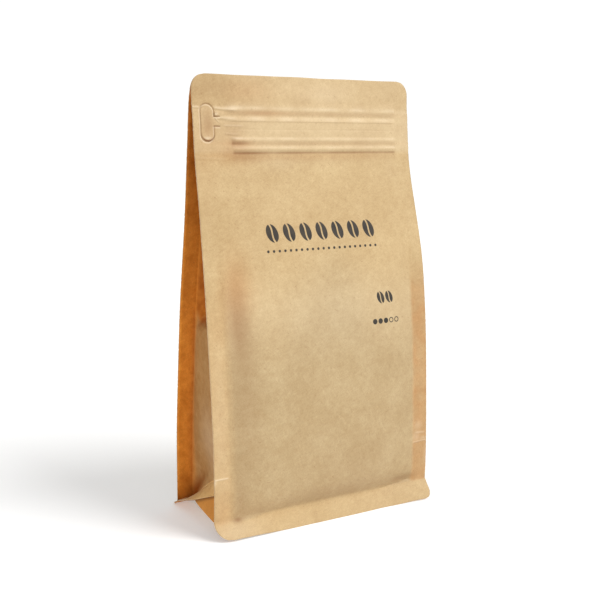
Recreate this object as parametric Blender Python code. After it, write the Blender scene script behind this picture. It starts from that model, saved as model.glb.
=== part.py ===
"""Kraft paper coffee pouch with a flat bottom, side gussets and a press-to-close top.

The pouch stands on z = 0 with its front towards -Y and +X to its right. It is one
closed solid: a front sheet and a back sheet, sealed round a filled body whose
sides are folded gussets and whose bottom sags onto the table.
Every size is in millimetres and is scaled to metres when a mesh is made.
"""

import math

import bmesh
import bpy
import mathutils

MM = 0.001

# Driving sizes of the pouch
PANEL_WIDTH = 135.0
HEIGHT = 237.5
SIDE_SEAL = 9.0
SHEET = 0.5
TOP_CORNER = 7.5
BOTTOM_CORNER = 5.0
FRONT_FOLD = 10.0
BACK_FOLD = 4.5
FRONT_SPLAY = 5.8
BACK_SPLAY = 8.6
TOP_SEAL = 7.5

HALF = PANEL_WIDTH / 2
SEAM = HALF - SIDE_SEAL

# Where the four upright edges stand, as (height, distance in front of or behind the middle)
FRONT_LEFT = ((0, 22.8), (33, 24.0), (62, 22.6), (119, 16.8), (166, 10.6), (204, 4.3), (HEIGHT, 2.9))
FRONT_RIGHT = ((0, 25.8), (33, 25.9), (90, 22.7), (119, 20.1), (166, 9.5), (185, 4.0), (204, 0.5), (HEIGHT, -2.2))
BACK_LEFT = ((0, 25.8), (33, 25.2), (62, 23.4), (119, 16.8), (166, 8.8), (204, 3.9), (221, 1.9), (HEIGHT, -1.7))
BACK_RIGHT = ((0, 25.6), (33, 25.2), (90, 21.8), (119, 18.4), (166, 10.4), (204, 5.2), (221, 4.0), (HEIGHT, 3.4))

# How far each panel bulges past its edges, by height
FRONT_BELLY = ((10, 0.6), (20, 3.0), (40, 4.2), (75, 4.4), (105, 3.4), (135, 1.4), (170, 0.3), (195, 0.0))
BACK_BELLY = ((4, 0.6), (20, 2.8), (45, 3.8), (80, 3.8), (110, 2.6), (140, 1.0), (175, 0.2), (195, 0.0))

# How high the contents fill the sides out
FILL_LEVEL = 106.0

# How far the middle of each gusset goes in (plus) or bulges out (minus), by height
GUSSET_IN = ((28, 9.5), (36, 4.5), (46, 0.0), (62, -1.8), (90, -2.0), (106, -1.0),
             (112, 2.0), (118, 10.0), (127, 16.5), (145, 21.0), (170, 23.6), (200, 24.4))
GUSSET_DENT = 28.0
RIDGE = 13.7
RIDGE_IN = 1.0

# The closure's ribs on the front sheet, as (height, how proud it stands)
CLOSURE = ((225.5, 0.0), (223.4, 0.8), (221.6, 0.8), (220.0, 0.3), (217.4, 0.1), (216.2, 0.9),
           (214.9, 0.9), (213.8, 0.5), (206.8, 0.5), (205.6, 1.0), (204.4, 0.9), (203.0, 0.2),
           (201.4, 1.1), (199.6, 1.3), (198.4, 0.2), (196.8, 0.0))
CLOSURE_LEFT = -43.0
CLOSURE_RIGHT = 59.0

# The resting patch of the sagging bottom
REST_HALF_X = 50.0
REST_HALF_Y = 17.0

KRAFT = (0.700, 0.480, 0.270, 1.0)


def between(a, b, t):
    """The value a share t of the way from a to b."""
    return a + (b - a) * t


def ease(t):
    """A share from 0 to 1 with soft ends."""
    t = min(1.0, max(0.0, t))
    return t * t * (3.0 - 2.0 * t)


def along(points, height):
    """A smooth curve through (height, value) points, level with no overshoot past its ends."""
    if height <= points[0][0]:
        return points[0][1]
    if height >= points[-1][0]:
        return points[-1][1]
    last = len(points) - 1
    i = max(k for k in range(last) if points[k][0] <= height)

    def slope(k):
        """The curve's slope at point k, from its two neighbours."""
        low, high = points[max(0, k - 1)], points[min(last, k + 1)]
        return (high[1] - low[1]) / (high[0] - low[0])

    (z0, v0), (z1, v1) = points[i], points[i + 1]
    step = z1 - z0
    t = (height - z0) / step
    return (
        (1 + 2 * t) * (1 - t) ** 2 * v0
        + t * (1 - t) ** 2 * step * slope(i)
        + t * t * (3 - 2 * t) * v1
        - t * t * (1 - t) * step * slope(i + 1)
    )


def closure_relief(x, height):
    """How far the ribs of the closure stand out of the front sheet."""
    fade = ease((x - CLOSURE_LEFT) / 3.0 + 0.5) * ease((CLOSURE_RIGHT - x) / 3.0 + 0.5)
    if not CLOSURE[-1][0] < height < CLOSURE[0][0]:
        return 0.0
    for (z1, v1), (z0, v0) in zip(CLOSURE, CLOSURE[1:]):
        if z0 <= height <= z1:
            return fade * between(v0, v1, (height - z0) / (z1 - z0))
    return 0.0


def crown(x):
    """The share of a panel's bulge at x: none at the seams, full over the middle."""
    return max(0.0, 1.0 - abs(x / SEAM) ** 3.2)


def front_y(x, height):
    """The front face of the front sheet."""
    share = x / PANEL_WIDTH + 0.5
    above = max(height, FRONT_FOLD)
    edge = between(along(FRONT_LEFT, above), along(FRONT_RIGHT, above), share)
    splay = FRONT_SPLAY * max(0.0, 1.0 - height / FRONT_FOLD)
    belly = along(FRONT_BELLY, height) * crown(x) if height > FRONT_FOLD else 0.0
    return -(edge + splay + belly + closure_relief(x, height))


def back_y(x, height):
    """The back face of the back sheet."""
    share = x / PANEL_WIDTH + 0.5
    above = max(height, BACK_FOLD)
    edge = between(along(BACK_LEFT, above), along(BACK_RIGHT, above), share)
    splay = BACK_SPLAY * max(0.0, 1.0 - height / BACK_FOLD)
    belly = along(BACK_BELLY, height) * crown(x) if height > BACK_FOLD else 0.0
    return edge + splay + belly


def half_width(height):
    """Half of the sheet's width, with its four corners rounded."""
    for radius, inset in ((TOP_CORNER, HEIGHT - height), (BOTTOM_CORNER, height)):
        if inset < radius:
            return HALF - radius + math.sqrt(radius**2 - (radius - inset) ** 2)
    return HALF


def panel_columns():
    """Where the body's columns stand across a panel, closer together near the seams."""
    return [-SEAM, -55.5, -50.0, -45.0, -41.0, -31.0, -20.5, -10.0, 0.5, 11.0, 21.5, 32.0,
            41.0, 49.0, 55.0, SEAM]


def heights(fold):
    """Every row of a panel from the fold at its foot to the top edge."""
    arc = [HEIGHT - TOP_CORNER * (1 - math.sin(math.radians(a))) for a in (0, 30, 60, 90)]
    body = [190.0, 182.0, 174.0, 165.0, 156.0, 147.0, 138.0, 129.0, 123.0, 118.0]
    body += [115.0, 112.0, 108.0, 101.0, 92.0, 82.0, 72.0, 62.0, 53.0, 46.0, 40.0, 34.0, GUSSET_DENT]
    base = [between(GUSSET_DENT, fold, t) for t in (0.3, 0.6, 0.85, 1.0)]
    return sorted({*arc, 227.5, *(z for z, _ in CLOSURE), *body, *base})


def to_metres(x, y, z):
    """A point in millimetres as a point in metres."""
    return (x * MM, y * MM, z * MM)


def skin_rows(mesh, rows, closed):
    """Extrudes the first row of points along the others, and returns every row's vertices."""
    first = [mesh.verts.new(to_metres(*point)) for point in rows[0]]
    pairs = list(zip(first, first[1:] + first[:1])) if closed else list(zip(first, first[1:]))
    edges = [mesh.edges.new(pair) for pair in pairs]
    made = [first]
    for row in rows[1:]:
        grown = bmesh.ops.extrude_edge_only(mesh, edges=edges)["geom"]
        edges = [part for part in grown if isinstance(part, bmesh.types.BMEdge)
                 and all(vert in grown for vert in part.verts)]
        source = {}
        for edge in edges:
            for face in edge.link_faces:
                for side in face.edges:
                    ends = set(side.verts)
                    for vert in edge.verts:
                        if vert in ends and not ends <= set(edge.verts):
                            source[(ends - {vert}).pop()] = vert
        verts = [source[vert] for vert in made[-1]]
        for vert, point in zip(verts, row):
            vert.co = to_metres(*point)
        made.append(verts)
    return made


def object_from(mesh, name, material):
    """A finished object with outward normals and split n-gons."""
    bmesh.ops.recalc_face_normals(mesh, faces=mesh.faces)
    bmesh.ops.triangulate(mesh, faces=mesh.faces)
    data = bpy.data.meshes.new(name)
    mesh.to_mesh(data)
    mesh.free()
    data.materials.append(material)
    made = bpy.data.objects.new(name, data)
    bpy.context.collection.objects.link(made)
    return made


def sheet_solid(name, face_y, inwards, fold, material):
    """A panel of paper from the rim of its bottom seal to the top edge, as thin as it is."""
    feet = [0.0, 0.7, 2.2, 5.0] if fold > 5.0 else [0.0, 0.4, 1.2, 2.6]
    rows = []
    for height in feet + heights(fold):
        width = half_width(height)
        outer = [between(SEAM, width, share) for share in (1.0, 0.5)]
        columns = [-outer[0], -outer[1], *panel_columns(), outer[1], outer[0]]
        front = [(x, face_y(x, height), height) for x in columns]
        back = [(x, y + inwards * SHEET, z) for x, y, z in reversed(front)]
        rows.append(front + back)
    mesh = bmesh.new()
    made = skin_rows(mesh, rows, closed=True)
    for end in (made[0], made[-1]):
        count = len(end) // 2
        for i in range(count - 1):
            mesh.faces.new((end[i], end[i + 1], end[-2 - i], end[-1 - i]))
    return object_from(mesh, name, material)


def foot_share(height):
    """How far a row is on its way from the gusset's dent, 0, to the foot, 1."""
    return max(0.0, GUSSET_DENT - height) / (GUSSET_DENT - FRONT_FOLD)


def row_height(foot, height):
    """The height of a row where the foot under it stands at another height than in front."""
    return between(max(height, GUSSET_DENT), foot, foot_share(height))


def foot_height(share):
    """The height of the side's bottom seal, a ridge at the middle and low at the ends."""
    end = FRONT_FOLD if share < 0 else BACK_FOLD
    return between(RIDGE, end, min(1.0, abs(share)) ** (0.6 if share < 0 else 1.0))


def gusset_row(side, height):
    """The points of one gusset from front to back, on the right (1) or left (-1) side."""
    closing = ease((HEIGHT - TOP_SEAL - height) / 6.0)
    seam = between(half_width(height) - 1.0, SEAM, ease((HEIGHT - height) / TOP_SEAL))
    depth = between(along(GUSSET_IN, height) * closing, RIDGE_IN, foot_share(height))
    folded = max(ease((height - FILL_LEVEL) / 12.0), 1.0 - ease((height - GUSSET_DENT) / 16.0))
    gap = SHEET * 1.1
    front = front_y(side * seam, height) + gap
    back = back_y(side * seam, height) - gap
    points = []
    for share in (-1.0, -0.8, -0.55, -0.3, -0.1, 0.0, 0.1, 0.3, 0.55, 0.8, 1.0):
        dome = 1.0 - share**2
        vee = 1.0 - abs(share)
        inward = depth * between(dome, vee, folded)
        points.append((
            side * (seam - inward),
            between(front, back, (share + 1) / 2),
            row_height(foot_height(share), height),
        ))
    return points


def body_ring(height):
    """One closed row of the filled body: front, right gusset, back, left gusset."""
    inset = SHEET * 0.5
    seam = between(half_width(height) - 1.0, SEAM, ease((HEIGHT - height) / TOP_SEAL))
    columns = [math.copysign(seam, x) if abs(x) == SEAM else x for x in panel_columns()]
    behind = row_height(BACK_FOLD, height)
    front = [(x, front_y(x, height) + inset, height) for x in columns]
    back = [(x, back_y(x, behind) - inset, behind) for x in reversed(columns)]
    left = list(reversed(gusset_row(-1, height)))
    return front + gusset_row(1, height) + back + left


def body_solid(material):
    """The filled body between the sheets, closed by its sagging bottom."""
    rows = [body_ring(height) for height in reversed(heights(FRONT_FOLD)) if height < HEIGHT - 0.5]
    foot = rows[-1]
    depths = [y for _, y, _ in foot]
    middle, reach = (min(depths) + max(depths)) / 2, (max(depths) - min(depths)) / 2
    for share, height in ((0.5, 2.6), (1.0, 0.0)):
        row = []
        for x, y, _ in foot:
            rest_x = max(-REST_HALF_X, min(REST_HALF_X, x * REST_HALF_X / SEAM))
            rest_y = middle + (y - middle) * REST_HALF_Y / reach
            row.append((between(x, rest_x, share), between(y, rest_y, share), height))
        rows.append(row)
    mesh = bmesh.new()
    made = skin_rows(mesh, rows, closed=True)
    mesh.faces.new(made[0])
    mesh.faces.new(made[-1])
    return object_from(mesh, "body", material)


def side_flange(name, side, material):
    """The seal between a gusset and the bottom, a narrow shelf with a ridge across it."""
    inner, outer = SEAM - 3.0, HALF - 0.3
    front = front_y(side * HALF, FRONT_FOLD) + SHEET * 0.4
    back = back_y(side * HALF, BACK_FOLD) - SHEET * 0.4
    rows = []
    for share in (-1.0, -0.8, -0.6, -0.4, -0.2, -0.08, 0.0, 0.08, 0.25, 0.5, 0.75, 1.0):
        y = between(front, back, (share + 1) / 2)
        top = foot_height(share) + SHEET * 0.3
        rows.append([
            (side * inner, y, top),
            (side * outer, y, top),
            (side * outer, y, top - SHEET),
            (side * inner, y, top - SHEET),
        ])
    mesh = bmesh.new()
    made = skin_rows(mesh, rows, closed=True)
    mesh.faces.new(made[0])
    mesh.faces.new(made[-1])
    return object_from(mesh, name, material)


def kraft_material():
    """Uncoated kraft paper laminate: brown, dull and dielectric."""
    material = bpy.data.materials.new("kraft_paper")
    material.use_nodes = True
    shader = material.node_tree.nodes["Principled BSDF"]
    shader.inputs["Base Color"].default_value = KRAFT
    shader.inputs["Roughness"].default_value = 0.72
    shader.inputs["Metallic"].default_value = 0.0
    return material


def united(first, others, name):
    """The first object joined with the others by one exact Boolean union, which is applied."""
    group = bpy.data.collections.new("joined")
    bpy.context.scene.collection.children.link(group)
    for other in others:
        for holder in list(other.users_collection):
            holder.objects.unlink(other)
        group.objects.link(other)
    union = first.modifiers.new("join", "BOOLEAN")
    union.operation = "UNION"
    union.solver = "EXACT"
    union.operand_type = "COLLECTION"
    union.collection = group
    bpy.context.view_layer.update()
    graph = bpy.context.evaluated_depsgraph_get()
    joined = bpy.data.meshes.new_from_object(first.evaluated_get(graph))
    first.modifiers.clear()
    first.data = joined
    for other in others:
        bpy.data.objects.remove(other)
    bpy.data.collections.remove(group)
    first.name = name
    first.data.name = name
    return first


def stand_on_origin(made):
    """Moves a mesh so that the middle of its outline, seen from above, is over the origin."""
    low = [min(vert.co[axis] for vert in made.data.vertices) for axis in range(3)]
    high = [max(vert.co[axis] for vert in made.data.vertices) for axis in range(3)]
    middle = ((low[0] + high[0]) / 2, (low[1] + high[1]) / 2, low[2])
    made.data.transform(mathutils.Matrix.Translation(middle).inverted())


def main():
    """Builds the pouch as one solid named bag."""
    for old in list(bpy.data.objects):
        bpy.data.objects.remove(old)
    kraft = kraft_material()
    front = sheet_solid("front", front_y, 1.0, FRONT_FOLD, kraft)
    back = sheet_solid("back", back_y, -1.0, BACK_FOLD, kraft)
    body = body_solid(kraft)
    flanges = [side_flange(f"flange_{side}", side, kraft) for side in (-1, 1)]
    bag = united(body, [front, back, *flanges], "bag")
    stand_on_origin(bag)
    bag.data.shade_smooth()
    bag.data.set_sharp_from_angle(angle=math.radians(40))


main()
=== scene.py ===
"""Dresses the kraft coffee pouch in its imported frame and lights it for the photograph's view.

The pouch is sewn up from the sheets that the real one has: a front and a back panel, two side
gussets and a bottom panel, sealed together in flat fins. Sizes here are millimetres, and they
become metres when a sheet is placed in the frame.
"""

import logging
import math
from collections.abc import Callable, Iterable
from dataclasses import dataclass, field
from enum import Enum
from functools import partial

import bmesh
import bpy
from mathutils import Matrix, Vector, noise

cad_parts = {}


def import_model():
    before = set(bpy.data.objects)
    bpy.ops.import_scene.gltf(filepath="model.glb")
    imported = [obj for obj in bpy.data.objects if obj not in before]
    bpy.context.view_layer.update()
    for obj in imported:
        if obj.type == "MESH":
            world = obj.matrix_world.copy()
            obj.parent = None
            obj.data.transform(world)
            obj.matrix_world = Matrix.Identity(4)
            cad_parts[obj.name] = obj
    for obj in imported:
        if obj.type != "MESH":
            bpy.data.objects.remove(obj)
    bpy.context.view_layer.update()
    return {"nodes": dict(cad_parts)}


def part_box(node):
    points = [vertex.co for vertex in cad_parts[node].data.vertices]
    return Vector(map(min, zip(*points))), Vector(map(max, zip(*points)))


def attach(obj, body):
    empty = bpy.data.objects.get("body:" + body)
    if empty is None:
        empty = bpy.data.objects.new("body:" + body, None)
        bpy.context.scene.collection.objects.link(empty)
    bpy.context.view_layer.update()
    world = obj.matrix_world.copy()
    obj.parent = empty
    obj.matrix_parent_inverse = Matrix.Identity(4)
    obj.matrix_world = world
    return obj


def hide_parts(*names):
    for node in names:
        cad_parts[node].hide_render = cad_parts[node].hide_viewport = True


LOG = logging.getLogger("pouch")
MM = 0.001
BODY = "root"
NODE = "bag"
WHITE = "#ffffff"
LOOKS = ("backed", "lit_through", "lightened", "shaded")

Pair = tuple[float, float]
Point = tuple[float, float, float]
Socket = bpy.types.NodeSocket
Tree = bpy.types.NodeTree


class Side(Enum):
    """The pouch's two sides, by the sign of their x."""

    LEFT = -1
    RIGHT = 1


def between(a: float, b: float, t: float) -> float:
    """The value a share t of the way from a to b."""
    return a + (b - a) * t


def ease(t: float) -> float:
    """A share from 0 to 1 with soft ends."""
    t = min(1, max(0, t))
    return t * t * (3 - 2 * t)


def hump(distance: float, width: float) -> float:
    """A smooth hump, 1 at no distance and nearly gone at twice the width."""
    return math.exp(-((distance / width) ** 2))


def spaced(stops: Iterable[Pair]) -> list[float]:
    """Places along a line, each stretch with its own spacing.

    Args:
        stops: (place, spacing from there on) pairs. The last spacing isn't used.

    Returns:
        The places in order, both ends among them.
    """
    pairs = list(stops)
    places: list[float] = []
    for (start, step), (end, _) in zip(pairs, pairs[1:]):
        count = max(1, round(abs(end - start) / step))
        places += [between(start, end, k / count) for k in range(count)]
    return [*places, pairs[-1][0]]


def held(x: float, limit: float) -> float:
    """x kept within a limit on both sides."""
    return math.copysign(min(abs(x), limit), x)


def linked(name: str, data: bpy.types.ID) -> bpy.types.Object:
    """An object in the scene with some data."""
    made = bpy.data.objects.new(name, data)
    bpy.context.scene.collection.objects.link(made)
    return made


def cloud(x: float, z: float, size: float, layer: float) -> float:
    """A soft random field from -1 to 1 with lumps of one size, its own in each layer."""
    return noise.noise(Vector((x / size, z / size, layer)))


@dataclass(frozen=True)
class Curve:
    """A smooth curve through (height, value) points, level past its ends."""

    points: tuple[Pair, ...]

    def slope(self, k: int) -> float:
        """The slope at point k, from its two neighbours."""
        low = self.points[max(0, k - 1)]
        high = self.points[min(len(self.points) - 1, k + 1)]
        return (high[1] - low[1]) / (high[0] - low[0])

    def at(self, height: float) -> float:
        """The curve's value at a height.

        Args:
            height: millimetres above the surface that the pouch stands on.

        Returns:
            The value, by cubic pieces that share their slopes.
        """
        points = self.points
        if height <= points[0][0]:
            return points[0][1]
        if height >= points[-1][0]:
            return points[-1][1]
        i = 0
        while points[i + 1][0] < height:
            i += 1
        (z0, v0), (z1, v1) = points[i], points[i + 1]
        step = z1 - z0
        t = (height - z0) / step
        rise = t * (1 - t) ** 2 * self.slope(i) - t * t * (1 - t) * self.slope(i + 1)
        return between(v0, v1, t * t * (3 - 2 * t)) + step * rise


@dataclass(frozen=True)
class PouchForm:
    """The pouch's main form: the sheets' outer faces, with y from the seams' middle."""

    width: float = 135.0
    height: float = 237.5
    side_seal: float = 9.0
    top_corner: float = 7.5
    bottom_corner: float = 5.0
    front_left_corner: float = 8.8
    back_left_corner: float = 2.4
    front_fold: float = 10.0
    back_fold: float = 4.5
    front_splay: float = 5.8
    back_splay: float = 8.6
    ply: float = 0.2
    ply_gap: float = 0.36
    fill_level: float = 106.0
    gusset_top: float = 44.0
    ridge: float = 13.7
    fold_climb: float = 10.6
    header_seal: float = 226.0
    front_left: Curve = Curve(((0, 22.8), (33, 24), (62, 22.6), (119, 16.8), (166, 10.6), (204, 4.3),
                               (237.5, 2.9)))
    front_right: Curve = Curve(((0, 26), (33, 26.1), (90, 23.1), (119, 20.4), (142, 16.6), (166, 9.8),
                                (185, 4.1), (204, 0.4), (237.5, -2.3)))
    back_left: Curve = Curve(((0, 25.8), (33, 25.2), (62, 23.4), (119, 16.8), (166, 8.8), (204, 3.9),
                              (221, 1.9), (237.5, -1.7)))
    back_right: Curve = Curve(((0, 25.6), (33, 25.2), (90, 21.8), (119, 18.4), (166, 10.4), (204, 5.2),
                               (221, 4), (237.5, 3.4)))
    front_belly: Curve = Curve(((10, 0.6), (20, 3), (40, 4.2), (75, 4.4), (105, 3.4), (135, 1.4),
                                (170, 0.3), (195, 0)))
    back_belly: Curve = Curve(((4, 0.6), (20, 2.8), (45, 3.8), (80, 3.8), (110, 2.6), (140, 1),
                               (175, 0.2), (195, 0)))
    gusset_in: Curve = Curve(((36, 0), (62, -1.8), (90, -2), (106, -1),
                              (112, 2), (118, 10), (127, 16.5), (145, 21), (170, 23.6), (200, 24.4)))
    corner_crease: Curve = Curve(((-1, 32), (-0.22, 25), (0.1, 20.2), (0.47, 14), (0.88, 6.8),
                                  (1, 5.5)))

    @property
    def half(self) -> float:
        """Half of a panel's width."""
        return self.width / 2

    @property
    def seam(self) -> float:
        """How far from the middle the side seals begin."""
        return self.half - self.side_seal

    def half_width(self, height: float, bottom: float = 0) -> float:
        """Half of a panel's width at a height, less in its rounded corners."""
        for radius, inset in ((self.top_corner, self.height - height), (bottom, height)):
            if inset < radius:
                return self.half - radius + math.sqrt(max(0, radius**2 - (radius - inset) ** 2))
        return self.half

    def crown(self, x: float) -> float:
        """The share of a panel's bulge at x: none at the seams, full over the middle."""
        return max(0, 1 - abs(x / self.seam) ** 3.2)

    def slack(self, x: float) -> float:
        """The share of a panel's soft lumps at x, fewer in its stiff seals."""
        return 1 - 0.6 * ease((abs(x) - self.seam + 2) / 4)

    def edge(self, left: Curve, right: Curve, x: float, height: float) -> float:
        """A panel's distance from the middle plane, stretched between its two edges."""
        return between(left.at(height), right.at(height), x / self.width + 0.5)

    def front_foot(self, x: float, height: float) -> float:
        """The share of the front belly here, sharp and low at the left of its foot."""
        soft = 1 + 4.2 * max(0, 1 - (x / 52) ** 2)
        foot = self.front_fold - 1.7 * ease((-x - 36) / 12) - 0.5 * ease((x - 36) / 12)
        return ease((height - foot) / soft + 0.5)

    def lean(self, fold: float, splay: float, height: float) -> float:
        """A splayed flange's thickness along y, as a multiple of its own."""
        return between(1, math.hypot(1, splay / fold), ease(fold + 0.5 - height))

    def front_flare(self, x: float) -> float:
        """How far the front flange's rim stands forward, more at the right corner."""
        return self.front_splay * (1 + 0.45 * ease((x - 30) / 37))

    def front(self, x: float, height: float) -> float:
        """The y of the front panel's outer face, without its closure and its creases."""
        fold = self.front_fold
        splay = self.front_flare(x) * max(0, 1 - height / fold) ** 1.2
        belly = self.front_belly.at(max(height, fold)) * self.crown(x) * self.front_foot(x, height)
        return -(self.edge(self.front_left, self.front_right, x, max(height, fold)) + splay + belly)

    def front_lift(self, x: float, height: float) -> float:
        """How far the front flange's rim is curled up at its two ends."""
        curl = 1.1 * ease((-x - 18) / 38) + 0.8 * ease((x - 38) / 24)
        return curl * max(0, 1 - height / self.front_fold)

    def back(self, x: float, height: float) -> float:
        """The y of the back panel's outer face, without its creases."""
        fold = self.back_fold
        splay = self.back_splay * max(0, 1 - height / fold)
        belly = self.back_belly.at(height) * self.crown(x) if height > fold else 0
        return self.edge(self.back_left, self.back_right, x, max(height, fold)) + splay + belly

    def foot_height(self, share: float) -> float:
        """The height of a side's bottom seal, a ridge at the middle and low at the ends.

        Args:
            share: the place along the seal, -1 at the front seam and 1 at the back seam.
        """
        end = self.front_fold if share < 0 else self.back_fold
        return between(self.ridge, end, min(1, abs(share)) ** (0.6 if share < 0 else 1))

    def row_height(self, foot: float, height: float) -> float:
        """The height of a gusset's row over a foot at another height than in front."""
        down = max(0, self.gusset_top - height) / (self.gusset_top - self.front_fold)
        return between(max(height, self.gusset_top), foot, down)

    def fold_height(self, share: float) -> float:
        """The height of the fold on a side's bottom seal, which climbs to the front fin."""
        if share < 0:
            return self.ridge + 0.5 - share * self.fold_climb
        return self.foot_height(share) + 0.5

    def fold_inset(self, share: float) -> float:
        """How far that fold lies inside the seal's rim."""
        return max(0, -share) * self.side_seal

    def web_height(self, x: float, share: float) -> float:
        """The height of the bottom sheet's side seal, from its rim up to the fold and in behind it.

        Args:
            x: millimetres from the middle.
            share: the place along the seal, -1 at the front seam and 1 at the back seam.
        """
        foot, inset, out = self.foot_height(share), self.fold_inset(share), self.half - abs(x)
        if inset < 0.2:
            return foot
        climb = self.fold_height(share) - 0.5 - foot
        return foot + climb * min(1, out / inset) - 0.6 * max(0, out - inset)


FORM = PouchForm()


@dataclass(frozen=True)
class Spot:
    """A soft oval spot: a bump, a dent where its strength is negative, or a tone."""

    x: float
    z: float
    reach_x: float
    reach_z: float
    strength: float

    def at(self, x: float, z: float) -> float:
        """The spot's strength here."""
        far = ((x - self.x) / self.reach_x) ** 2 + ((z - self.z) / self.reach_z) ** 2
        return self.strength * math.exp(-far) if far < 9 else 0


def spots(*rows: tuple[float, float, float, float, float]) -> tuple[Spot, ...]:
    """Spots from rows of x, z, reach along x, reach along z and strength."""
    return tuple(Spot(*row) for row in rows)


@dataclass(frozen=True)
class Crease:
    """A straight crease: a ridge, a hollow beside it, pale broken fibres and a painted highlight."""

    start: Pair
    end: Pair
    width: float
    rise: float
    hollow: float = 0.0
    pale: float = 0.0

    def across(self, x: float, z: float) -> Pair:
        """How far this place is above the crease's line, and the crease's share there."""
        (x0, z0), (x1, z1) = self.start, self.end
        run_x, run_z = x1 - x0, z1 - z0
        length = math.hypot(run_x, run_z)
        along = ((x - x0) * run_x + (z - z0) * run_z) / length
        above = ((z - z0) * run_x - (x - x0) * run_z) / length
        return above, ease(along / 2 + 0.5) * ease((length - along) / 2 + 0.5)

    def at(self, x: float, z: float) -> float:
        """How far the paper stands out here because of the crease."""
        above, share = self.across(x, z)
        if abs(above) > 4 * self.width or share <= 0:
            return 0
        hollow = self.hollow * hump(above + 1.6 * self.width, self.width)
        return share * (self.rise * hump(above, self.width) - hollow)

    def paleness(self, x: float, z: float) -> float:
        """How pale broken fibres and a painted highlight just above the line make the paper here."""
        above, share = self.across(x, z)
        return share * self.pale * hump(above - 0.3 * self.width, 0.8 * self.width)


@dataclass(frozen=True)
class Closure:
    """The press-to-close strips, which show through the front panel as level ribs."""

    left: float = -45.4
    left_high: float = -49.2
    right: float = 57.8
    profile: tuple[Pair, ...] = (
        (229, 0), (224, 0.2), (220.6, 0.85), (219.9, 0.85), (217.4, 0), (216.8, 0), (214.8, 0.75),
        (214.5, 0.72), (214.1, 0.5), (211, 0.5), (210.3, 0.36), (209.6, 0.5), (206.6, 0.42),
        (205.2, 0.85), (204.7, 0.85), (202.4, -0.05), (201.8, 0), (200.8, 0.5), (200.2, 0.5),
        (198.3, -0.5), (197.4, -0.48), (191, 0),
    )
    # Painted highlights along the ribs' ridges: (height, width).
    highlight_lines: tuple[Pair, ...] = ((221.2, 0.9), (215.9, 1.1), (205.8, 0.6), (201.2, 0.5))
    # Painted shade in the ribs' hollows and under the lowest rib: (height, width, strength).
    shade_lines: tuple[Point, ...] = (
        (218.6, 0.9, 0.06), (214.3, 0.35, 0.08), (203.4, 0.9, 0.1), (198.4, 0.6, 0.46),
        (196.2, 2.4, 0.13),
    )

    def ribs(self, x: float, z: float) -> float:
        """The share of the ribs' relief here, which runs out softly beside the tab."""
        high = ease((z - 205.4) / 2)
        left = between(self.left, self.left_high, high) + 1.3 * cloud(0, z, 3, 4.1)
        return ease((x - left) / between(1.6, 6.5, high) + 0.5) * ease((self.right - x) / 1.4 + 0.5)

    def at(self, x: float, z: float) -> float:
        """How far the ribs stand out of the front panel."""
        top, foot = self.profile[0][0], self.profile[-1][0]
        if not foot < z < top:
            return 0
        rise = 0
        for (z1, v1), (z0, v0) in zip(self.profile, self.profile[1:]):
            if z0 <= z <= z1:
                rise = between(v0, v1, (z - z0) / (z1 - z0))
                break
        strip = 0.3 * ease((222 - z) / 3) * ease((z - 198) / 4)
        wear = 1 + 0.3 * cloud(x, z * 0.4, 17, 2)
        return between(strip, rise * wear, self.ribs(x, z))

    def paleness(self, x: float, z: float) -> float:
        """Painted highlights along the strips' ridges here, stronger in some places."""
        painted_light = max(0, 0.07 + 0.14 * cloud(x, z, 9, 6))
        lines = sum(hump(z - at, width) for at, width in self.highlight_lines)
        return painted_light * self.ribs(x, z) * lines

    def hollow_shade(self, x: float, z: float) -> float:
        """Painted shade in the strips' hollows and under the lowest rib here."""
        lines = sum(share * hump(z - at, width) for at, width, share in self.shade_lines)
        return lines * self.ribs(x, z) * (1 + 0.5 * cloud(x, z, 14, 15))


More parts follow.
